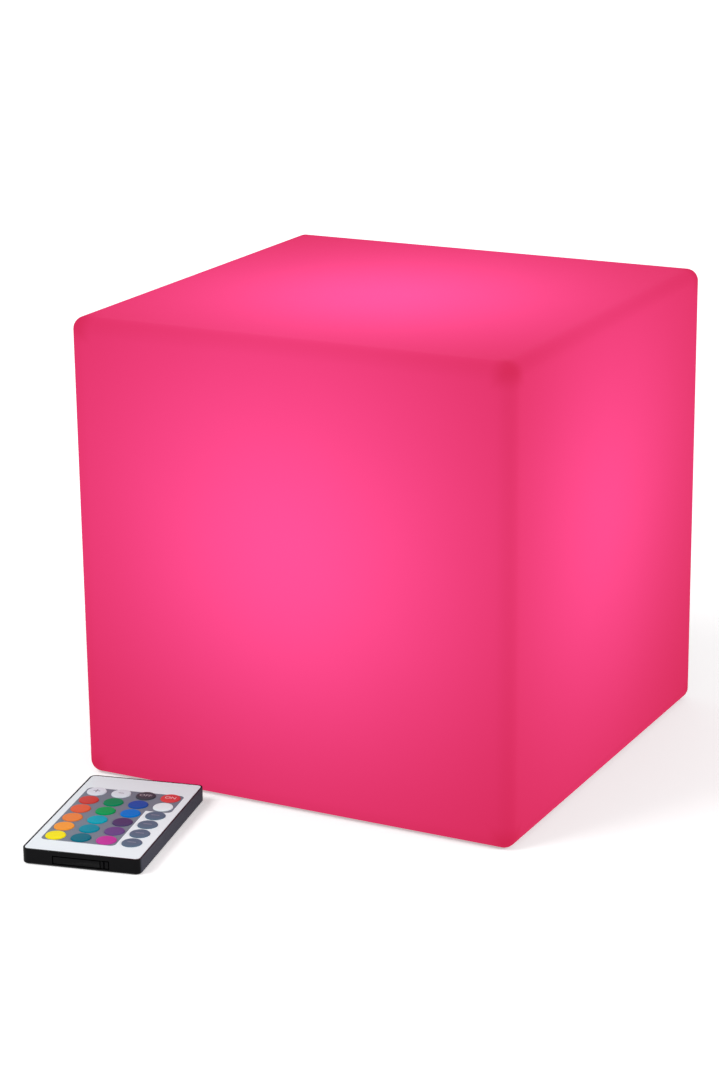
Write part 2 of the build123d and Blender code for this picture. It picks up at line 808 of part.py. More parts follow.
# ================================================================ 27. the frosted dome
rim_z = plate_top + dome_rim_height
shoulder_z = plate_top + dome_skirt_height
dome_bore = dome_radius - dome_wall
groove = snap_bead + 0.1
with BuildPart() as light_dome:
    with BuildSketch(Plane.XZ):
        with BuildLine():
            Polyline(
                (dome_bore, shoulder_z),
                (dome_bore, bead_z + groove),
                (dome_bore + groove, bead_z),
                (dome_bore, bead_z - groove),
                (dome_bore, rim_z),
                (dome_radius, rim_z),
                (dome_radius, shoulder_z),
                (0.8 * dome_radius, shoulder_z + 0.7 * dome_rise),
                (0.45 * dome_radius, shoulder_z + dome_rise),
                (0, shoulder_z + dome_rise),
                (0, shoulder_z + dome_rise - dome_wall),
                (0.45 * dome_bore, shoulder_z + dome_rise - dome_wall),
                (0.8 * dome_bore, shoulder_z + 0.7 * (dome_rise - dome_wall)),
                close=True,
            )
        make_face()
    revolve(axis=Axis.Z)
save(light_dome.part, "light_dome")

# ================================================================ 28. its seal
with BuildPart() as dome_seal:
    with BuildSketch(Plane.XY.offset(plate_top - dome_seal_depth)):
        Circle(seal_outer - 0.05)
        Circle(seal_inner + 0.05, mode=Mode.SUBTRACT)
    extrude(amount=dome_seal_depth + dome_rim_height)
save(dome_seal.part, "dome_seal")

# ================================================================ the remote control
# Its stack of layers sets its height, and the field of keys sets its width and length.
tray_z = remote_floor + tray_gap
tray_top = tray_z + tray_floor + coin_thickness
remote_board_z = tray_top + coin_leaf_space
remote_board_top = remote_board_z + remote_board_thickness
ledge_z = remote_board_top + dome_sheet + press_gap + key_travel + key_skirt
remote_height = ledge_z + face_thickness
key_pitch_x = 2 * (key_radius + key_gap) + key_web_x
key_pitch_y = 2 * (key_radius + key_gap) + key_web_y
key_field_x = (key_columns - 1) * key_pitch_x + 2 * key_radius
key_field_y = (key_rows - 1) * key_pitch_y + 2 * key_radius
remote_width = key_field_x + 2 * key_side_margin
remote_length = key_field_y + key_near_margin + key_far_margin

# Its own plane: X across it, Y along it away from the battery end, Z up from the ground.
turn = radians(remote_turn)
remote_reach = remote_length / 2 * cos(turn) + remote_width / 2 * sin(turn)
remote_plane = Plane(
    origin=(remote_x, -cube_size / 2 - remote_clear - remote_reach, 0),
    x_dir=(cos(turn), sin(turn), 0),
    z_dir=(0, 0, 1),
)
near_end = -remote_length / 2
far_end = remote_length / 2
board_pocket_x = remote_width / 2 - remote_wall
board_pocket_y = remote_length / 2 - remote_wall
cavity_x = board_pocket_x - board_ledge
cavity_y = board_pocket_y - board_ledge
face_half_x = remote_width / 2 - face_rim - face_gap
face_half_y = remote_length / 2 - face_rim - face_gap
ir_led_z = (remote_floor + remote_board_z) / 2

key_places = [
    (
        (column - (key_columns - 1) / 2) * key_pitch_x,
        near_end + key_near_margin + key_radius + (key_rows - 1 - row) * key_pitch_y,
    )
    for row in range(key_rows)
    for column in range(key_columns)
]
key_names = [
    "key_brighter", "key_dimmer", "key_off", "key_on",
    "key_red", "key_green", "key_blue", "key_white",
    "key_orange_red", "key_leaf_green", "key_sky_blue", "key_mode_1",
    "key_orange", "key_cyan", "key_dark_purple", "key_mode_2",
    "key_light_orange", "key_teal", "key_purple", "key_mode_3",
    "key_yellow", "key_dark_teal", "key_magenta", "key_mode_4",
]

tray_half_width = coin_radius + coin_gap + tray_rim
tray_depth = tray_front + 2 * (coin_radius + coin_gap) + tray_rim
coin_y = near_end + tray_front + coin_gap + coin_radius

# ================================================================ 29. the remote's case
with BuildPart() as remote_case:
    with BuildSketch(remote_plane):
        RectangleRounded(remote_width, remote_length, remote_corner)
    extrude(amount=remote_height)
    chamfer(remote_case.edges().group_by(Axis.Z)[0], length=0.5)
    # shallow bed of the face film, pocket of the board, and the cavity below it
    with BuildSketch(remote_plane.offset(ledge_z)):
        RectangleRounded(
            remote_width - 2 * face_rim, remote_length - 2 * face_rim, remote_corner - face_rim
        )
    extrude(amount=face_thickness, mode=Mode.SUBTRACT)
    with BuildSketch(remote_plane.offset(remote_board_z)):
        RectangleRounded(2 * board_pocket_x, 2 * board_pocket_y, 1.4)
    extrude(amount=ledge_z - remote_board_z, mode=Mode.SUBTRACT)
    with BuildSketch(remote_plane.offset(remote_floor)):
        RectangleRounded(2 * cavity_x, 2 * cavity_y, 1.0)
    extrude(amount=remote_board_z - remote_floor, mode=Mode.SUBTRACT)
    # doorway of the battery tray through the near wall
    with BuildSketch(remote_plane.offset(remote_floor)):
        with Locations((0, near_end - 0.1)):
            Rectangle(
                2 * (tray_half_width + tray_gap),
                remote_wall + board_ledge + 0.2,
                align=(Align.CENTER, Align.MIN),
            )
    extrude(amount=tray_top + tray_gap - remote_floor, mode=Mode.SUBTRACT)
    # two low rails that guide the tray
    with BuildSketch(remote_plane.offset(remote_floor)):
        rail_y = near_end + remote_wall + board_ledge
        for side in (-1, 1):
            with Locations((side * (tray_half_width + tray_gap + 0.5), rail_y)):
                Rectangle(1.0, tray_depth, align=(Align.CENTER, Align.MIN))
    extrude(amount=2.0)
    # hole of the infrared LED in the far wall
    with BuildSketch(Plane(
        origin=remote_plane.from_local_coords((0, far_end, ir_led_z)),
        x_dir=remote_plane.x_dir,
        z_dir=remote_plane.y_dir,
    )):
        Circle(ir_led_radius + ir_led_gap)
    extrude(amount=-remote_wall - board_ledge, mode=Mode.SUBTRACT)
save(remote_case.part, "remote_case")

# ================================================================ 30. the printed face
with BuildPart() as remote_face:
    with BuildSketch(remote_plane.offset(ledge_z)):
        RectangleRounded(2 * face_half_x, 2 * face_half_y, remote_corner - face_rim - face_gap)
        with Locations(*key_places):
            Circle(key_radius + key_gap, mode=Mode.SUBTRACT)
    extrude(amount=face_thickness)
save(remote_face.part, "remote_face")

# ================================================================ 31. the keys
# Each key is the crown embossed in the film over one snap dome, cut free along its rim.
with BuildPart() as key:
    with BuildSketch(Plane.XZ):
        with BuildLine():
            Polyline(
                (0, ledge_z - key_skirt),
                (key_radius, ledge_z - key_skirt),
                (key_radius, remote_height + key_edge),
                (key_radius - key_bevel, remote_height + key_rise),
                (0, remote_height + key_rise),
                close=True,
            )
        make_face()
    revolve(axis=Axis.Z)

for name, place in zip(key_names, key_places):
    save(key.part.moved(remote_plane.location * Location(place)), name)

# ================================================================ 32. the remote's board
# with the snap domes taped onto it, one under each key
with BuildPart() as remote_board:
    with BuildSketch(remote_plane.offset(remote_board_z)):
        RectangleRounded(2 * board_pocket_x - 2 * face_gap, 2 * board_pocket_y - 2 * face_gap, 1.2)
    extrude(amount=remote_board_thickness)
    with BuildSketch(remote_plane.offset(remote_board_top)):
        with Locations(*key_places):
            RegularPolygon(0.75 * key_radius, 8)
    extrude(amount=dome_sheet)
save(remote_board.part, "remote_board")

# ================================================================ 33. encoder chip
with BuildPart() as remote_chip:
    with BuildSketch(remote_plane.offset(remote_board_z)):
        with Locations((0, far_end - encoder_inset)):
            Rectangle(controller_length, chip_width)
    extrude(amount=-chip_height)
    with BuildSketch(remote_plane.offset(remote_board_z)):
        with Locations((0, far_end - encoder_inset)):
            with GridLocations(lead_pitch, lead_rows, encoder_lead_count, 2):
                Rectangle(lead_width, lead_length)
    extrude(amount=-chip_height / 2)
save(remote_chip.part, "remote_chip")

# ================================================================ 34. infrared LED
led_plane = Plane(
    origin=remote_plane.from_local_coords((0, far_end - ir_led_length - 0.3, ir_led_z)),
    x_dir=remote_plane.x_dir,
    z_dir=remote_plane.y_dir,
)
with BuildPart() as remote_ir_led:
    with BuildSketch(led_plane):
        Circle(ir_led_radius)
    extrude(amount=ir_led_length)
    fillet(remote_ir_led.faces().sort_by(Axis.Y)[-1].edges(), radius=ir_led_radius * 0.8)
    # its two legs stand up to the board
    with BuildSketch(remote_plane.offset(ir_led_z)):
        leg_y = far_end - ir_led_length - 0.4
        with Locations((-0.6 * ir_led_radius, leg_y), (0.6 * ir_led_radius, leg_y)):
            Rectangle(0.4, 0.6)
    extrude(amount=remote_board_z - ir_led_z)
save(remote_ir_led.part, "remote_ir_led")

# ================================================================ 35. the battery tray
with BuildPart() as battery_tray:
    with BuildSketch(remote_plane.offset(tray_z)):
        with Locations((0, near_end)):
            Rectangle(2 * tray_half_width, tray_depth, align=(Align.CENTER, Align.MIN))
    extrude(amount=tray_top - tray_z)
    with BuildSketch(remote_plane.offset(tray_z + tray_floor)):
        with Locations((0, coin_y)):
            Circle(coin_radius + coin_gap)
    extrude(amount=coin_thickness, mode=Mode.SUBTRACT)
    # slot that frees the squeeze latch at the tray's right side
    with BuildSketch(remote_plane.offset(tray_z)):
        with Locations((tray_half_width - latch_width, near_end)):
            Rectangle(latch_slot, tray_front + latch_length, align=(Align.CENTER, Align.MIN))
    extrude(amount=tray_top - tray_z, mode=Mode.SUBTRACT)
save(battery_tray.part, "battery_tray")

# ================================================================ 36. the coin cell
with BuildPart() as coin_cell:
    with BuildSketch(remote_plane.offset(tray_z + tray_floor)):
        with Locations((0, coin_y)):
            Circle(coin_radius)
    extrude(amount=coin_thickness)
    chamfer(coin_cell.edges().group_by(Axis.Z)[-1], length=0.4)
save(coin_cell.part, "coin_cell")

# ================================================================ 37. its contacts
leaf_z = tray_top + 0.05
with BuildPart() as coin_contacts:
    with BuildSketch(remote_plane.offset(leaf_z)):
        with Locations((-coin_leaf_x, coin_y), (coin_leaf_x, coin_y)):
            Rectangle(coin_leaf_width, coin_leaf_length)
    extrude(amount=coin_leaf)
    # their feet, soldered to the board above
    with BuildSketch(remote_plane.offset(leaf_z)):
        foot_y = coin_y + (coin_leaf_length - coin_foot) / 2
        with Locations((-coin_leaf_x, foot_y), (coin_leaf_x, foot_y)):
            Rectangle(coin_leaf_width, coin_foot)
    extrude(amount=remote_board_z - leaf_z)
save(coin_contacts.part, "coin_contacts")
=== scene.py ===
"""LED cube light with its keypad remote: the looks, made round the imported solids.

Lengths are metres in the frame of the solids: Z is up, the cube stands on the origin and its
front faces -Y, and the remote lies in front of it, turned a little.
"""

import math

import bmesh
import bpy
import numpy as np
from mathutils import Matrix, Vector


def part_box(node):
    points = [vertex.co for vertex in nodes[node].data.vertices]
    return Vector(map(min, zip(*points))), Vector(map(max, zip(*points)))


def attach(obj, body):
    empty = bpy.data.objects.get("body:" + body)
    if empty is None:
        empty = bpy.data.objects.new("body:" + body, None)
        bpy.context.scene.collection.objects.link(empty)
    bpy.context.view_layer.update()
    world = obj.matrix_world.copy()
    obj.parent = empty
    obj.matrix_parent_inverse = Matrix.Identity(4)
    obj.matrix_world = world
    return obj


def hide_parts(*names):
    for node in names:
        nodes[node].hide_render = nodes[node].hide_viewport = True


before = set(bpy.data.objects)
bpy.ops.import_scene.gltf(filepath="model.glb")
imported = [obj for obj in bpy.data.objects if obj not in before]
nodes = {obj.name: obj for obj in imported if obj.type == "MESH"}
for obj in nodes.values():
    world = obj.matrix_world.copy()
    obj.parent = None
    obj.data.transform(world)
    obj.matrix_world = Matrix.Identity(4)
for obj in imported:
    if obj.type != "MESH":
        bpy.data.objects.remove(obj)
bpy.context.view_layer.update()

# ------------------------------------------------------------------ the camera
# It stands in front of the cube, a little to the right and above, and looks slightly down
# through a long lens, so the cube shows its front, its right side and its top.
camera_place = (0.52682, -1.04610, 0.45316)
camera_yaw = math.radians(27.537)
camera_dip = math.radians(17.210)
camera_roll = math.radians(-0.6616)
camera_lens = 94.05  # mm, before a sensor 36 mm wide

camera_data = bpy.data.cameras.new("camera")
camera_data.lens = camera_lens
camera = bpy.data.objects.new("camera", camera_data)
camera.matrix_world = (
    Matrix.Translation(camera_place)
    @ Matrix.Rotation(camera_yaw, 4, "Z")
    @ Matrix.Rotation(math.pi / 2 - camera_dip, 4, "X")
    @ Matrix.Rotation(camera_roll, 4, "Z")
)
bpy.context.scene.collection.objects.link(camera)
bpy.context.scene.camera = camera
bpy.context.scene.view_settings.view_transform = "Standard"


# ------------------------------------------------------------------ the studio
# A white table and a white room with even light. What the camera sees of both, directly or
# in a shiny surface, is plain white, and the table keeps the soft shadow of the light.
def add_node(tree, kind, sockets=None, **settings):
    """Adds a node. Each socket gets a value, or a link from another node's output."""
    made = tree.nodes.new(kind)
    for setting, value in settings.items():
        setattr(made, setting, value)
    for socket, value in (sockets or {}).items():
        if isinstance(value, bpy.types.NodeSocket):
            tree.links.new(value, made.inputs[socket])
        else:
            made.inputs[socket].default_value = value
    return made


def add_math(tree, operation, *values):
    """The output of a Math node on up to three numbers or sockets."""
    return add_node(
        tree, "ShaderNodeMath", dict(enumerate(values)), operation=operation
    ).outputs[0]


def add_vector_math(tree, operation, *values, **factor):
    """The output of a Vector Math node: a number for a length or a dot product."""
    made = add_node(
        tree,
        "ShaderNodeVectorMath",
        {**dict(enumerate(values)), **factor},
        operation=operation,
    )
    return made.outputs["Value" if operation in ("LENGTH", "DOT_PRODUCT") else "Vector"]


def add_ramp(tree, value, start, end, at_start, at_end, **settings):
    """A number that runs from at_start to at_end while the value runs from start to end."""
    return add_node(
        tree,
        "ShaderNodeMapRange",
        {
            "Value": value,
            "From Min": start,
            "From Max": end,
            "To Min": at_start,
            "To Max": at_end,
        },
        **settings,
    ).outputs[0]


def seen_rays(tree):
    """1 for rays from the camera or off a shiny or clear surface, and 0 for light itself."""
    rays = add_node(tree, "ShaderNodeLightPath").outputs
    mirrored = add_math(tree, "MAXIMUM", rays["Is Glossy Ray"], rays["Is Transmission Ray"])
    return add_math(tree, "MAXIMUM", rays["Is Camera Ray"], mirrored)


room_light = 0.42
bounced_light = 0.85  # from below: the light that the table throws back up
horizon_band = 0.05  # half the band between the two, in the direction's height
world = bpy.data.worlds.new("white_room")
bpy.context.scene.world = world
world.use_nodes = True
background = world.node_tree.nodes["Background"]
background.inputs["Color"].default_value = (1, 1, 1, 1)
tree = world.node_tree
direction = add_node(tree, "ShaderNodeTexCoord").outputs["Generated"]
upwards = add_node(tree, "ShaderNodeSeparateXYZ", {0: direction}).outputs["Z"]
from_side = add_ramp(
    tree, upwards, -horizon_band, horizon_band, bounced_light, room_light
)
room = add_ramp(tree, seen_rays(tree), 0.0, 1.0, from_side, 1.0)
tree.links.new(room, background.inputs["Strength"])

table_reach = 4.0
table_top = -0.0002  # a hair below what stands on it, so that the two don't fight for a ray
table_white = (0.92, 0.92, 0.92, 1)
# the lamps don't reach its far parts, so the lift that keeps it white grows outwards
near_lift, far_lift = 0.40, 0.75
lift_start, lift_end = 0.6, 1.8
table_corners = [
    (x * table_reach, y * table_reach, table_top)
    for x, y in ((-1, -1), (1, -1), (1, 1), (-1, 1))
]
table_mesh = bpy.data.meshes.new("table")
table_mesh.from_pydata(table_corners, [], [(0, 1, 2, 3)])
table = bpy.data.objects.new("table", table_mesh)
bpy.context.scene.collection.objects.link(table)
table_paint = bpy.data.materials.new("table_paint")
table_paint.use_nodes = True
table_shader = table_paint.node_tree.nodes["Principled BSDF"]
table_shader.inputs["Base Color"].default_value = table_white
table_shader.inputs["Roughness"].default_value = 0.9
table_shader.inputs["Specular IOR Level"].default_value = 0.1
table_shader.inputs["Emission Color"].default_value = (1, 1, 1, 1)
tree = table_paint.node_tree
table_place = add_node(tree, "ShaderNodeTexCoord").outputs["Object"]
table_distance = add_vector_math(tree, "LENGTH", table_place)
lift = add_ramp(tree, table_distance, lift_start, lift_end, near_lift, far_lift)
seen_lift = add_math(tree, "MULTIPLY", lift, seen_rays(tree))
tree.links.new(seen_lift, table_shader.inputs["Emission Strength"])
underneath = add_node(
    tree,
    "ShaderNodeMixShader",
    {
        0: add_node(tree, "ShaderNodeNewGeometry").outputs["Backfacing"],
        1: table_shader.outputs[0],
        2: add_node(tree, "ShaderNodeBsdfTransparent").outputs[0],
    },
)
tree.links.new(underneath.outputs[0], tree.nodes["Material Output"].inputs["Surface"])
table_mesh.materials.append(table_paint)
# it is clear from below and lets the room's light through, so the undersides can be seen
table.visible_diffuse = False
table.visible_shadow = False

lamp_target = Vector((0, 0, 0.05))
# each lamp's place, the side of its square, and its power in watts
lamps = {
    "high_left": ((-1.3, -1.5, 2.2), 1.4, 43.0),
    "right": ((2.0, 0.2, 1.0), 1.2, 24.0),
}
for lamp_name, (place, size, power) in lamps.items():
    lamp_data = bpy.data.lights.new(lamp_name, "AREA")
    lamp_data.size = size
    lamp_data.energy = power
    lamp = bpy.data.objects.new(lamp_name, lamp_data)
    lamp.location = place
    aim = lamp_target - Vector(place)
    lamp.rotation_euler = aim.to_track_quat("-Z", "Y").to_euler()
    bpy.context.scene.collection.objects.link(lamp)


# ------------------------------------------------------------------ the cube shell
# One rotomoulded shell of milky polyethylene, satin outside, and lit pink from inside. The
# light on a face falls off with the square of the distance from a point near the middle of the
# cube,
# set a little towards the front: painted light that makes the front face glow brighter than
# the sides and the back. It is also a little weaker low down, along the edges and in the
# corners, where the wall is thicker.
def paint(code):
    """The linear colour of an sRGB code such as d0312f."""
    values = np.array([int(code[i : i + 2], 16) for i in (0, 2, 4)]) / 255
    linear = np.where(values <= 0.04045, values / 12.92, ((values + 0.055) / 1.055) ** 2.4)
    return (*linear.tolist(), 1.0)


def start_finish(name, colour, sockets):
    """A new material, with this sRGB colour and these values on its Principled shader."""
    material = bpy.data.materials.new(name)
    material.use_nodes = True
    shader = material.node_tree.nodes["Principled BSDF"]
    shader.inputs["Base Color"].default_value = paint(colour)
    for socket, value in sockets.items():
        shader.inputs[socket].default_value = value
    return material, shader


def object_place(tree):
    """The place of a point on the object, in metres."""
    return add_node(tree, "ShaderNodeTexCoord").outputs["Object"]


def grain_bump(tree, shader, size, depth, detail=3.0):
    """Raises a surface by this depth in noise whose grains have this size."""
    noise = add_node(
        tree,
        "ShaderNodeTexNoise",
        {"Vector": object_place(tree), "Scale": 1 / size, "Detail": detail},
    )
    bump = add_node(
        tree,
        "ShaderNodeBump",
        {"Height": noise.outputs["Fac"], "Strength": 1.0, "Distance": depth},
    )
    tree.links.new(bump.outputs["Normal"], shader.inputs["Normal"])
    return noise.outputs["Fac"]


def give_finish(material, *node_names):
    """Puts a material on CAD nodes, whose shapes stay as they are."""
    for node_name in node_names:
        mesh = nodes[node_name].data
        mesh.materials.clear()
        mesh.materials.append(material)


cube_edge = 0.2
cube_rounding = 0.0053
shell_grain, shell_grain_depth = 0.0011, 0.00002
# painted light: the point sits 8 mm towards the front and a little above the middle, so the
# front face glows brighter than the sides and the back, though the cube is the same all round
front_shifted_glow_source = (-0.0007, -0.0081, 0.1057)
glow_rise = 0.387  # the glow's gain from the foot to the top, round a mean of 1
# where the glow weakens, in roundings inwards from the faces, and the share that is left
edge_fade, edge_share = (1.6, 0.1), 0.86
corner_fade, corner_share = (2.2, 0.4), 0.6
wall_patches = 22.0  # patches of thicker and thinner wall in a metre
wall_wander = 0.05
spill_share = 0.08  # of its brightness, for the light that it throws on other things

milky_shell, shell_shader = start_finish(
    "milky_shell", "5c0d26", {"Roughness": 0.7, "Specular IOR Level": 0.01}
)
tree = milky_shell.node_tree
place = object_place(tree)
away = add_vector_math(tree, "SUBTRACT", place, front_shifted_glow_source)
distance_squared = add_vector_math(tree, "DOT_PRODUCT", away, away)
falloff = add_math(tree, "DIVIDE", cube_edge**2, distance_squared)
height = add_node(tree, "ShaderNodeSeparateXYZ", {0: place}).outputs["Z"]
upper_share = add_math(
    tree, "MULTIPLY_ADD", height, glow_rise / cube_edge, 1 - glow_rise / 2
)
from_centre = add_vector_math(tree, "SUBTRACT", place, (0, 0, cube_edge / 2))
folded = add_vector_math(tree, "ABSOLUTE", from_centre)
sides = add_node(tree, "ShaderNodeSeparateXYZ", {0: folded}).outputs
shorter = add_math(tree, "MINIMUM", sides[0], sides[1])
longer = add_math(tree, "MAXIMUM", sides[0], sides[1])


def weakened(distance, fade, share_left):
    """Falls from 1 to the share that is left, while the distance from the centre nears the
    faces of the cube."""
    start, end = (cube_edge / 2 - roundings * cube_rounding for roundings in fade)
    return add_ramp(
        tree, distance, start, end, 1.0, share_left, interpolation_type="SMOOTHSTEP"
    )


# near an edge the middle one of the three distances is long too, and in a corner all three
middle_one = add_math(tree, "MAXIMUM", shorter, add_math(tree, "MINIMUM", longer, sides[2]))
shortest_one = add_math(tree, "MINIMUM", shorter, sides[2])
# the wall's thickness wanders a little, as it does in rotomoulding
wall_noise = add_node(
    tree, "ShaderNodeTexNoise", {"Vector": place, "Scale": wall_patches, "Detail": 2.0}
).outputs["Fac"]
wall_share = add_math(tree, "MULTIPLY_ADD", wall_noise, wall_wander, 1 - wall_wander / 2)
thickness_share = add_math(
    tree,
    "MULTIPLY",
    weakened(middle_one, edge_fade, edge_share),
    weakened(shortest_one, corner_fade, corner_share),
)
glow = add_math(
    tree,
    "MULTIPLY",
    add_math(tree, "MULTIPLY", falloff, upper_share),
    add_math(tree, "MULTIPLY", thickness_share, wall_share),
)
# each colour of the glow: a share that follows the light, and a base that is even
glow_mix = {"Red": (0.1164, 0.465), "Green": (0.0150, 0.007), "Blue": (0.0574, 0.028)}
glow_colour = add_node(
    tree,
    "ShaderNodeCombineColor",
    {
        colour: add_math(tree, "MULTIPLY_ADD", glow, share, base)
        for colour, (share, base) in glow_mix.items()
    },
).outputs[0]
tree.links.new(glow_colour, shell_shader.inputs["Emission Color"])
# seen by eye it is as bright as the lens records it, and it lights the room much less
spill = add_ramp(tree, seen_rays(tree), 0.0, 1.0, spill_share, 1.0)
tree.links.new(spill, shell_shader.inputs["Emission Strength"])
grain_bump(tree, shell_shader, shell_grain, shell_grain_depth)
give_finish(milky_shell, "cube_shell")


# ------------------------------------------------------------------ the light engine's plastic
# Housing, cover, cradle and socket are moulded in white ABS, with a fine spark-eroded grain
# and a faintly uneven tint.
def moulded_finish(name, colour, roughness, grain, depth, mottle=0.05, **sockets):
    """Moulded plastic or cast rubber: this colour, clouded by the mottle's share, with a
    grain of this size and depth, rougher where the grain stands up."""
    clouds_in_a_metre, shine_spread = 90.0, 0.16
    values = {socket.replace("_", " "): value for socket, value in sockets.items()}
    material, shader = start_finish(name, colour, values)
    tree = material.node_tree
    fine = grain_bump(tree, shader, grain, depth)
    cloud = add_node(
        tree,
        "ShaderNodeTexNoise",
        {"Vector": object_place(tree), "Scale": clouds_in_a_metre, "Detail": 3.0},
    ).outputs["Fac"]
    share = add_math(tree, "MULTIPLY_ADD", cloud, 2 * mottle, 1 - mottle)
    tint = add_vector_math(tree, "SCALE", paint(colour)[:3], Scale=share)
    tree.links.new(tint, shader.inputs["Base Color"])
    shine = add_math(tree, "MULTIPLY_ADD", fine, shine_spread, roughness - shine_spread / 2)
    tree.links.new(shine, shader.inputs["Roughness"])
    return material


white_abs = moulded_finish("white_abs", "e9e7e1", 0.42, 0.0004, 0.00001)
give_finish(white_abs, "base_housing", "battery_cradle", "base_cover")
switch_plastic = moulded_finish("switch_plastic", "1d1d20", 0.4, 0.0003, 0.000008)
give_finish(switch_plastic, "tact_switch", "switch_plunger", "charge_jack")


# ------------------------------------------------------------------ seals, button and plug
# Cast silicone: clear rings under the shell and the dome, black ones for the cover, the hat
# behind the button and the plug. The button is a soft grey rubber.
clear_silicone = moulded_finish(
    "clear_silicone",
    "dfe3e4",
    0.35,
    0.0006,
    0.00001,
    Subsurface_Weight=0.3,
    Subsurface_Scale=0.002,
)
give_finish(clear_silicone, "shell_gasket", "dome_seal")
black_silicone = moulded_finish("black_silicone", "1b1b1d", 0.5, 0.0005, 0.00001)
give_finish(black_silicone, "cover_seal", "button_boot", "port_plug")
button_rubber = moulded_finish("button_rubber", "8d9196", 0.55, 0.0004, 0.00001)
give_finish(button_rubber, "power_button")


def carried_strip(name, middle_line, width, thickness):
    """A flat strip with square ends: its rectangle, this wide across the line and this thick
    downwards, is carried along the points of the middle line in the XY plane."""
    line = np.asarray(middle_line, float)
    along = np.gradient(line[:, :2], axis=0)
    along /= np.linalg.norm(along, axis=1)[:, None]
    across = np.stack([-along[:, 1], along[:, 0], np.zeros(len(line))], -1) * width / 2
    down = np.array([0, 0, -thickness])
    corners = np.stack(
        [line - across, line + across, line + across + down, line - across + down], 1
    )
    step = np.arange(len(line) - 1)[:, None] * 4
    side = np.arange(4)
    after = (side + 1) % 4
    walls = np.stack([step + side, step + 4 + side, step + 4 + after, step + after], -1)
    last = 4 * (len(line) - 1)
    ends = [(0, 1, 2, 3), (last + 3, last + 2, last + 1, last)]
    mesh = bpy.data.meshes.new(name)
    mesh.from_pydata(
        corners.reshape(-1, 3).tolist(), [], walls.reshape(-1, 4).tolist() + ends
    )
    strip = bpy.data.objects.new(name, mesh)
    bpy.context.scene.collection.objects.link(strip)
    return strip


def joined(name, pieces):
    """Several made pieces as one object."""
    with bpy.context.temp_override(
        active_object=pieces[0], object=pieces[0], selected_editable_objects=pieces
    ):
        bpy.ops.object.join()
    pieces[0].name = name
    return pieces[0]


# the usual sign for power, printed on the button: a ring open at one side, and a bar
low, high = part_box("power_button")
button_middle = np.array([(low.x + high.x) / 2, (low.y + high.y) / 2, low.z])
sign_radius, sign_width, sign_ink = 0.0021, 0.00045, 0.00002
ring_start, ring_end = math.radians(-55), math.radians(235)
bar_start, bar_end = 0.3, 1.25  # in radii of the ring, towards its opening
ring_turn = np.linspace(ring_start, ring_end, 40)
ring_line = np.stack(
    [sign_radius * np.cos(ring_turn), sign_radius * np.sin(ring_turn), 0 * ring_turn], -1
)
bar_line = np.array([(0, -share * sign_radius, 0) for share in (bar_start, bar_end)])
power_sign = joined(
    "power_sign",
    [
        carried_strip("power_ring", button_middle + ring_line, sign_width, sign_ink),
        carried_strip("power_bar", button_middle + bar_line, sign_width, sign_ink),
    ],
)
power_sign.data.materials.append(
    moulded_finish("power_ink", "e8eaec", 0.45, 0.0003, 0.000002)
)
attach(power_sign, "power_button")


# ------------------------------------------------------------------ screws
# Pan-head screws of plated steel. The ones that show from below get turned heads with a
# cross recess; those inside stay as plain as their solids.
def metal_finish(name, colour, roughness):
    """Plated metal: this colour, with fine noise in its shine and a trace of bump."""
    streak, streak_depth, shine_spread = 0.0004, 0.000004, 0.2
    material, shader = start_finish(name, colour, {"Metallic": 1.0})
    tree = material.node_tree
    fine = grain_bump(tree, shader, streak, streak_depth, detail=5.0)
    shine = add_math(tree, "MULTIPLY_ADD", fine, shine_spread, roughness - shine_spread / 2)
    tree.links.new(shine, shader.inputs["Roughness"])
    return material


def turned_points(profile, steps):
    """Carries a half profile of (radius, height) points once round Z: point (i, j) is the
    i-th profile point turned by j / steps of a full turn."""
    profile = np.asarray(profile, float)
    angle = np.linspace(0, 2 * math.pi, steps, endpoint=False)
    radius, height = profile[:, :1], profile[:, 1:]
    return np.stack(
        [radius * np.cos(angle), radius * np.sin(angle), height + 0 * angle], axis=-1
    )


def turned_piece(name, points):
    """A closed mesh from turned points whose first and last rings are single points on the
    axis. Rings run so that the faces point outwards when the profile climbs outside."""
    rings, steps = points.shape[:2]
    inner = points[1:-1].reshape(-1, 3)
    vertices = np.vstack([points[0, :1], inner, points[-1, :1]])
    ring = np.arange(rings - 2)[:, None] * steps + 1
    step = np.arange(steps)
    after = (step + 1) % steps
    low, high = ring[:-1], ring[1:]
    quads = np.stack([low + step, low + after, high + after, high + step], -1).reshape(-1, 4)
    top = len(vertices) - 1
    start = [(0, int(1 + b), int(1 + a)) for a, b in zip(step, after)]
    end = [(top, int(ring[-1, 0] + a), int(ring[-1, 0] + b)) for a, b in zip(step, after)]
    mesh = bpy.data.meshes.new(name)
    mesh.from_pydata(vertices.tolist(), [], quads.tolist() + start + end)
    mesh.shade_smooth()
    piece = bpy.data.objects.new(name, mesh)
    bpy.context.scene.collection.objects.link(piece)
    return piece


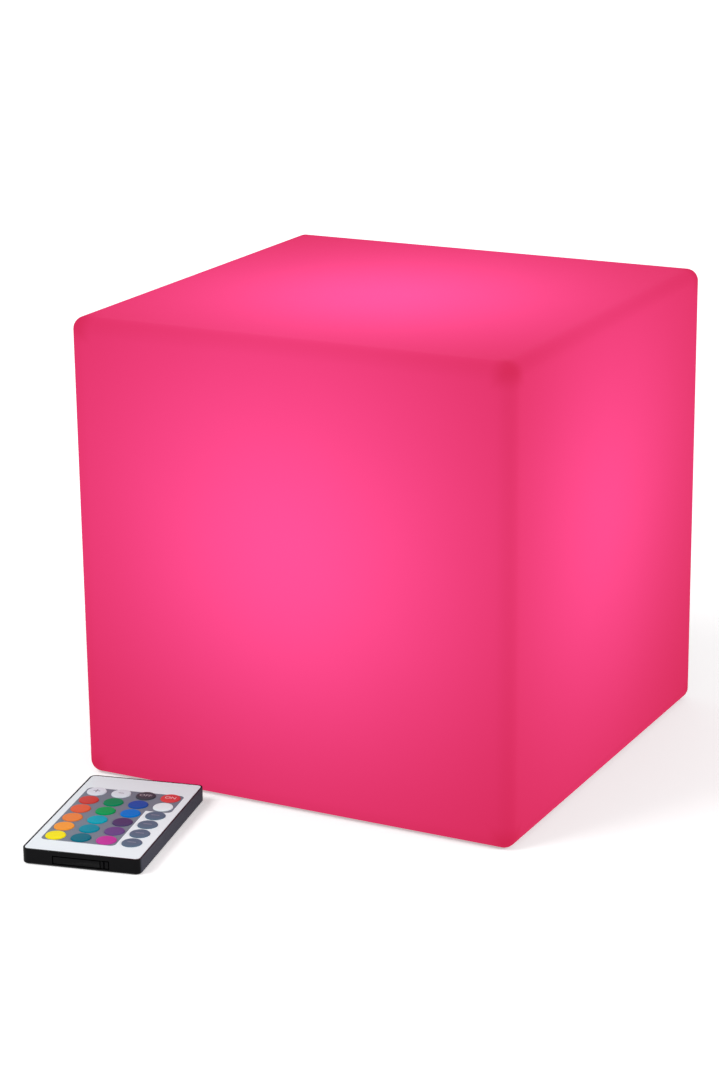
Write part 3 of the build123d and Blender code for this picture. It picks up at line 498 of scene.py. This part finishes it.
def screw_points(head_radius, head_height, shank_radius, length):
    """A pan head below height 0 with a shank above it: the crown is a quarter of an ellipse
    turned round Z. A cross is pressed into it: two crossing arms, whose depth fades in over
    a third of their half width."""
    crown_rise, rim_foot = 0.45 * head_height, -0.1 * head_height
    neck_radius = 0.96 * head_radius
    crown = [
        (head_radius * math.sin(turn), -head_height + crown_rise * (1 - math.cos(turn)))
        for turn in np.linspace(0, math.pi / 2, 14)
    ]
    profile = crown + [
        (head_radius, rim_foot),
        (neck_radius, 0),
        (shank_radius, 0),
        (shank_radius, length),
        (0, length),
    ]
    points = turned_points(profile, 64)
    x, y = np.abs(points[..., 0]), np.abs(points[..., 1])
    arm, reach, fade = 0.15 * head_radius, 0.6 * head_radius, 0.05 * head_radius
    crown_foot, recess = -0.3 * head_height, 0.5 * head_height

    def inside(width, limit):
        return np.clip((limit - width) / fade, 0, 1)

    cross = np.maximum(inside(x, arm) * inside(y, reach), inside(y, arm) * inside(x, reach))
    on_crown = points[..., 2] < crown_foot
    points[..., 2] += np.where(on_crown, recess * cross, 0)
    return points


screw_steel = metal_finish("screw_steel", "b9babb", 0.32)
give_finish(screw_steel, "board_screws", "led_screws")


def replace_screws(node_name, places, head_radius, head_height, shank_radius):
    """Stands detailed screws in the places of a CAD group of screws."""
    low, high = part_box(node_name)
    shape = screw_points(
        head_radius, head_height, shank_radius, high.z - low.z - head_height
    )
    pieces = [
        turned_piece(f"{node_name}_{i}", shape + (x, y, low.z + head_height))
        for i, (x, y) in enumerate(places)
    ]
    screws = joined(f"{node_name}_crossed", pieces)
    screws.data.materials.append(screw_steel)
    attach(screws, "root")
    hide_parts(node_name)


housing_head, housing_head_height, housing_shank = 0.00275, 0.0016, 0.00145
housing_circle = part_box("housing_screws")[1].x - housing_head
replace_screws(
    "housing_screws",
    [
        (housing_circle * math.cos(turn), housing_circle * math.sin(turn))
        for turn in np.linspace(0, 2 * math.pi, 6, endpoint=False)
    ],
    housing_head,
    housing_head_height,
    housing_shank,
)
cover_head, cover_head_height, cover_shank = 0.0026, 0.0013, 0.0014
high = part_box("cover_screws")[1]
cover_x, cover_y = high.x - cover_head, high.y - cover_head
replace_screws(
    "cover_screws",
    [(sx * cover_x, sy * cover_y) for sx in (-1, 1) for sy in (-1, 1)],
    cover_head,
    cover_head_height,
    cover_shank,
)

# ------------------------------------------------------------------ brass inserts and contacts
# Hexagonal brass inserts in the shell's bosses, and nickel-plated spring leaves, cell ends
# and coin cell.
brass = metal_finish("brass", "c9a45a", 0.35)
give_finish(brass, "threaded_inserts")
nickel = metal_finish("nickel", "c4c0b8", 0.28)
give_finish(nickel, "cell_contacts", "coin_cell", "coin_contacts")

# ------------------------------------------------------------------ clear and frosted plastic
# The light pipe and the remote's infrared LED are clear, and the dome is frosted inside.
clear_acrylic = moulded_finish(
    "clear_acrylic", "e8eef0", 0.12, 0.0008, 0.000004, Transmission_Weight=0.8, IOR=1.49
)
give_finish(clear_acrylic, "charge_light_pipe")
ir_led_clear = moulded_finish(
    "ir_led_clear", "cfd4ea", 0.12, 0.0008, 0.000004, Transmission_Weight=0.8, IOR=1.52
)
give_finish(ir_led_clear, "remote_ir_led")
frosted_dome = moulded_finish(
    "frosted_dome", "f3f1ee", 0.55, 0.0005, 0.00001, Transmission_Weight=0.5, IOR=1.49
)
give_finish(frosted_dome, "light_dome")


# ------------------------------------------------------------------ boards and chips
# Glass-fibre boards under green resist, an aluminium board under white resist, black epoxy
# chips and a blue-sleeved cell. Thin copper runs show through the green resist.
def add_colour_mix(tree, share, colour, other):
    """One colour where the share is 0, and the other where it is 1."""
    return add_node(
        tree,
        "ShaderNodeMix",
        {"Factor": share, "A": colour, "B": other},
        data_type="RGBA",
    ).outputs[2]


def board_finish(name, resist, track, pitch):
    """Solder resist over copper runs this far apart: a bent wave pattern, whose crests above
    a threshold show as narrow runs with a lighter tint."""
    run_threshold, wave_bend = 0.82, 1.2
    material, shader = start_finish(name, resist, {"Roughness": 0.3})
    tree = material.node_tree
    wave = add_node(
        tree,
        "ShaderNodeTexWave",
        {
            "Vector": object_place(tree),
            "Scale": 1 / pitch,
            "Distortion": wave_bend,
            "Detail": 1.0,
        },
        wave_profile="SIN",
    ).outputs["Fac"]
    run = add_math(tree, "GREATER_THAN", wave, run_threshold)
    colour = add_colour_mix(tree, run, paint(resist), paint(track))
    tree.links.new(colour, shader.inputs["Base Color"])
    return material


green_board = board_finish("green_board", "1d5a34", "2f7a48", 0.01)
give_finish(green_board, "control_board", "remote_board")
white_board = board_finish("white_board", "eceae6", "f6f5f2", 0.012)
give_finish(white_board, "led_board")
chip_epoxy = moulded_finish("chip_epoxy", "1e1e1f", 0.55, 0.0002, 0.000006)
give_finish(chip_epoxy, "control_chips", "remote_chip", "board_link")
dark_epoxy = moulded_finish("dark_epoxy", "17151d", 0.2, 0.0006, 0.000003)
give_finish(dark_epoxy, "ir_receiver")
led_package = moulded_finish("led_package", "f1efe8", 0.35, 0.0003, 0.000004)
give_finish(led_package, "rgb_leds")
cell_sleeve = moulded_finish("cell_sleeve", "2d5f9e", 0.3, 0.0008, 0.000006)
give_finish(cell_sleeve, "battery_cell")

# ------------------------------------------------------------------ the remote's case
# A thin black tray moulded in ABS. Its long sides have a coarse grain, and a speckled grey is
# painted on them as the sheen that light puts on that grain; its near end is polished. Places
# on it are worked out in the remote's own axes.
remote_turn = math.radians(12.0)
remote_half_width = 0.025
low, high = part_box("remote_case")
remote_height = high.z
remote_middle = Vector(((low.x + high.x) / 2, (low.y + high.y) / 2, 0))
remote_frame = Matrix.Translation(remote_middle) @ Matrix.Rotation(remote_turn, 4, "Z")


def remote_place_node(tree):
    """The place of a point in the remote's own axes."""
    return add_node(
        tree,
        "ShaderNodeMapping",
        {
            "Vector": object_place(tree),
            "Location": tuple(remote_middle),
            "Rotation": (0, 0, remote_turn),
        },
        vector_type="TEXTURE",
    ).outputs[0]


def case_finish():
    """Black plastic, polished, and grained on the two long sides, where a speckled grey is
    painted on as sheen.
    """
    # the grey is painted sheen for the long sides, not a colour of the plastic
    black, painted_sheen_grey = "060608", "3a3c47"
    side_start, side_end = remote_half_width - 0.0004, remote_half_width - 0.0001
    side_grain, side_grain_depth = 0.0003, 0.00002
    sheen_speckle_gain, sheen_speckle_base = 1.2, 0.4  # how the grain lightens and darkens the painted sheen
    polish, side_roughness = 0.35, 0.6
    material, shader = start_finish("remote_black", black, {"Specular IOR Level": 0.08})
    tree = material.node_tree
    own = add_node(tree, "ShaderNodeSeparateXYZ", {0: remote_place_node(tree)}).outputs
    across = add_math(tree, "ABSOLUTE", own["X"])
    on_side = add_ramp(tree, across, side_start, side_end, 0.0, 1.0)
    fine = grain_bump(tree, shader, side_grain, side_grain_depth)
    # painted sheen: the grain's noise speckles a grey that replaces the black on the long
    # sides, standing in for light caught there
    sheen_speckle = add_math(tree, "MULTIPLY_ADD", fine, sheen_speckle_gain, sheen_speckle_base)
    painted_side_sheen = add_vector_math(tree, "SCALE", paint(painted_sheen_grey)[:3], Scale=sheen_speckle)
    colour = add_colour_mix(tree, on_side, paint(black), painted_side_sheen)
    tree.links.new(colour, shader.inputs["Base Color"])
    shine = add_math(tree, "MULTIPLY_ADD", on_side, side_roughness - polish, polish)
    tree.links.new(shine, shader.inputs["Roughness"])
    return material


remote_black = case_finish()
give_finish(remote_black, "remote_case")

# ------------------------------------------------------------------ the coin cell's drawer
# It is moulded in the same black ABS, and slides out of the case at its near end. Its front
# slopes in from the doorway, so that a dark joint shows round it, and a finger groove lies
# beside the slot of its latch.
drawer_draft, drawer_draft_depth = 0.0003, 0.0012
groove_x, groove_width, groove_depth = 0.00825, 0.0005, 0.0006


def mesh_places(mesh):
    """The places of all the points of a mesh, as one array."""
    places = np.empty(3 * len(mesh.vertices), np.float32)
    mesh.vertices.foreach_get("co", places)
    return places.reshape(-1, 3).astype(float)


def sloped_drawer():
    """The drawer's own solid, merged, in the remote's axes, and the place of its front. A cut
    goes across it behind its front, and in front of the cut it slopes inwards all round: the
    front's outer points move in along X and Z by the draft."""
    shape = bmesh.new()
    shape.from_mesh(nodes["battery_tray"].data)
    bmesh.ops.remove_doubles(shape, verts=shape.verts, dist=1e-6)
    shape.transform(remote_frame.inverted())
    mesh = bpy.data.meshes.new("drawer")
    shape.to_mesh(mesh)
    front = mesh_places(mesh)[:, 1].min()
    bmesh.ops.bisect_plane(
        shape,
        geom=shape.verts[:] + shape.edges[:] + shape.faces[:],
        plane_co=(0, front + drawer_draft_depth, 0),
        plane_no=(0, 1, 0),
    )
    shape.to_mesh(mesh)
    shape.free()
    places = mesh_places(mesh)
    near = 0.1 * drawer_draft
    inwards = 1.0 * (places < places.min(0) + near) - (places > places.max(0) - near)
    inwards[:, 1] = 0
    in_front = places[:, 1:2] < front + near
    places += drawer_draft * inwards * in_front
    mesh.vertices.foreach_set("co", places.astype(np.float32).ravel())
    mesh.update()
    return mesh, front


def groove_cutter(front):
    """A block that crosses the drawer's front from below to above."""
    sides = (-1, 1)
    corners = [
        (groove_x + x * groove_width / 2, front + y * groove_depth, z * remote_height)
        for x in sides
        for y in sides
        for z in sides
    ]
    faces = [
        (0, 1, 3, 2),
        (4, 6, 7, 5),
        (0, 4, 5, 1),
        (2, 3, 7, 6),
        (0, 2, 6, 4),
        (1, 5, 7, 3),
    ]
    mesh = bpy.data.meshes.new("groove")
    mesh.from_pydata(corners, [], faces)
    cutter = bpy.data.objects.new("groove", mesh)
    bpy.context.scene.collection.objects.link(cutter)
    return cutter


drawer_mesh, drawer_front = sloped_drawer()
drawer = bpy.data.objects.new("drawer", drawer_mesh)
bpy.context.scene.collection.objects.link(drawer)
cutter = groove_cutter(drawer_front)
cut = drawer.modifiers.new("groove", "BOOLEAN")
cut.operation = "DIFFERENCE"
cut.solver = "EXACT"
cut.object = cutter
grooved = bpy.data.meshes.new_from_object(
    drawer.evaluated_get(bpy.context.evaluated_depsgraph_get())
)
drawer.modifiers.clear()
bpy.data.objects.remove(cutter)
grooved.transform(remote_frame)
grooved.shade_smooth()
grooved.set_sharp_from_angle(angle=math.radians(30))
grooved.materials.clear()
grooved.materials.append(remote_black)
drawer.data = grooved
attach(drawer, "battery_tray")
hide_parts("battery_tray")


# ------------------------------------------------------------------ the printed face
# White polyester film with a grey panel printed round the colour keys: the panel covers the
# two far rows across all four columns, and the rest of the first three columns.
key_radius = 0.0041
key_places = {}
for node_name in nodes:
    if node_name.startswith("key_"):
        low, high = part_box(node_name)
        key_places[node_name] = ((low + high) / 2).xy


def own_place(node_name):
    """A key's place in the remote's own axes."""
    return (remote_frame.inverted() @ key_places[node_name].to_3d()).xy


def panel_mask(tree, own, corner_a, corner_b, rounding):
    """1 inside a rectangle with rounded corners: a point is inside while its overshoot past
    the inset rectangle is shorter than the rounding."""
    a, b = Vector(corner_a), Vector(corner_b)
    centre, half = (a + b) / 2, Vector(map(abs, (b - a) / 2))
    inset = (half.x - rounding, half.y - rounding, 1)
    moved = add_vector_math(tree, "SUBTRACT", own, (centre.x, centre.y, 0))
    folded = add_vector_math(tree, "ABSOLUTE", moved)
    past = add_vector_math(tree, "SUBTRACT", folded, inset)
    overshoot = add_vector_math(tree, "MAXIMUM", past, (0, 0, 0))
    length = add_vector_math(tree, "LENGTH", overshoot)
    return add_math(tree, "LESS_THAN", length, rounding)


panel_margin, panel_near_margin = 0.0009, 0.00045  # of grey beyond the discs
panel_rounding = 0.0022
panel_grey = "7a8391"
reach = key_radius + panel_margin
far_left = own_place("key_brighter") + Vector((-reach, key_radius))
right_end = own_place("key_white") + Vector((reach, -reach))
near_end = own_place("key_magenta") + Vector((reach, -key_radius - panel_near_margin))

white_film = moulded_finish(
    "white_film", "f2faff", 0.4, 0.0009, 0.000004, mottle=0.01, Specular_IOR_Level=0.06
)
tree = white_film.node_tree
film_shader = tree.nodes["Principled BSDF"]
own = remote_place_node(tree)
panel = add_math(
    tree,
    "MAXIMUM",
    panel_mask(tree, own, far_left, right_end, panel_rounding),
    panel_mask(tree, own, far_left, near_end, panel_rounding),
)
film_tint = film_shader.inputs["Base Color"].links[0].from_socket
print_colour = add_colour_mix(tree, panel, film_tint, paint(panel_grey))
tree.links.new(print_colour, film_shader.inputs["Base Color"])
give_finish(white_film, "remote_face")

# ------------------------------------------------------------------ the keys
# Each key is a disc embossed in the film, which fills its round opening but for a hair: an
# upright edge, a small round shoulder, and a crown that is all but flat. Its colour is
# screen-printed under the film.
low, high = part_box("key_red")
key_low, key_high = low.z, high.z
film_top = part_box("remote_face")[1].z
crown_radius = 0.0042
shoulder = 0.0005
foot_radius, foot_bevel = 0.9 * crown_radius, 0.0001
crown_rise = 0.00005
crown_edge = key_high - crown_rise
flat_radius = crown_radius - shoulder
shoulder_turn = np.linspace(0, math.pi / 2, 7)
crown_shape = np.vstack(
    [
        [(0, key_low), (foot_radius, key_low), (crown_radius, key_low + foot_bevel)],
        np.stack(
            [
                crown_radius - shoulder * (1 - np.cos(shoulder_turn)),
                crown_edge - (crown_edge - film_top) * (1 - np.sin(shoulder_turn)),
            ],
            -1,
        ),
        [
            (r, crown_edge + crown_rise * (1 - (r / flat_radius) ** 2))
            for r in np.linspace(0.85, 0, 7) * flat_radius
        ],
    ]
)
crown_points = turned_points(crown_shape, 48)

key_prints = {
    "key_brighter": "e6eaf4",
    "key_dimmer": "e2e8f1",
    "key_off": "43454f",
    "key_on": "e04a4e",
    "key_red": "d2443f",
    "key_green": "00895a",
    "key_blue": "2453a8",
    "key_white": "f0f6fb",
    "key_orange_red": "e8613f",
    "key_leaf_green": "00a058",
    "key_sky_blue": "0077d2",
    "key_mode_1": "5d7086",
    "key_orange": "f08540",
    "key_cyan": "00a5bb",
    "key_dark_purple": "51406c",
    "key_mode_2": "5d7086",
    "key_light_orange": "fb9f3c",
    "key_teal": "008ca4",
    "key_purple": "6c4c8a",
    "key_mode_3": "5d7086",
    "key_yellow": "fcec18",
    "key_dark_teal": "006d82",
    "key_magenta": "c63f9f",
    "key_mode_4": "5d7086",
}
for key_name, print_code in key_prints.items():
    centre = key_places[key_name]
    crown = turned_piece(f"{key_name}_crown", crown_points + (centre.x, centre.y, 0))
    crown.data.materials.append(
        moulded_finish(
            f"{key_name}_print",
            print_code,
            0.35,
            0.0007,
            0.000004,
            mottle=0.03,
            Specular_IOR_Level=0.04,
        )
    )
    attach(crown, key_name)
    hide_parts(key_name)


# ------------------------------------------------------------------ the marks on the keys
# A few plain signs printed on top of the keys, a hair thick: plus and minus for the
# brightness, OFF and ON, and a dash on each of the four grey keys.
def key_mark(key_name, text, size, stretch, code):
    """A sign in the middle of a key, in the remote's direction, as a thin mesh, stretched
    sideways by this factor. Half of its ink is sunk in the key."""
    half_ink = 0.00001
    curve = bpy.data.curves.new(f"{key_name}_sign", "FONT")
    curve.body = text
    curve.size = size
    curve.align_x = "CENTER"
    curve.align_y = "CENTER"
    curve.extrude = half_ink
    writing = bpy.data.objects.new(f"{key_name}_writing", curve)
    bpy.context.scene.collection.objects.link(writing)
    mesh = bpy.data.meshes.new_from_object(
        writing.evaluated_get(bpy.context.evaluated_depsgraph_get())
    )
    bpy.data.objects.remove(writing)
    outline = mesh_places(mesh)
    middle = (outline.min(0) + outline.max(0)) / 2
    centre = key_places[key_name]
    mesh.transform(
        Matrix.Translation((centre.x, centre.y, key_high))
        @ Matrix.Rotation(remote_turn, 4, "Z")
        @ Matrix.Diagonal((stretch, 1, 1, 1))
        @ Matrix.Translation((-middle[0], -middle[1], 0))
    )
    mesh.materials.clear()
    mesh.materials.append(
        moulded_finish(f"{key_name}_ink", code, 0.4, 0.0004, 0.000002, mottle=0.05)
    )
    sign = bpy.data.objects.new(f"{key_name}_sign", mesh)
    bpy.context.scene.collection.objects.link(sign)
    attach(sign, key_name)


key_mark("key_brighter", "+", 0.0062, 1.0, "8b8f9c")
key_mark("key_dimmer", "-", 0.0062, 1.6, "8b8f9c")
key_mark("key_off", "OFF", 0.0031, 1.0, "b5b3bb")
key_mark("key_on", "ON", 0.0031, 1.0, "f3d8da")
for mode in range(1, 5):
    key_mark(f"key_mode_{mode}", "-", 0.0060, 2.4, "7b889b")
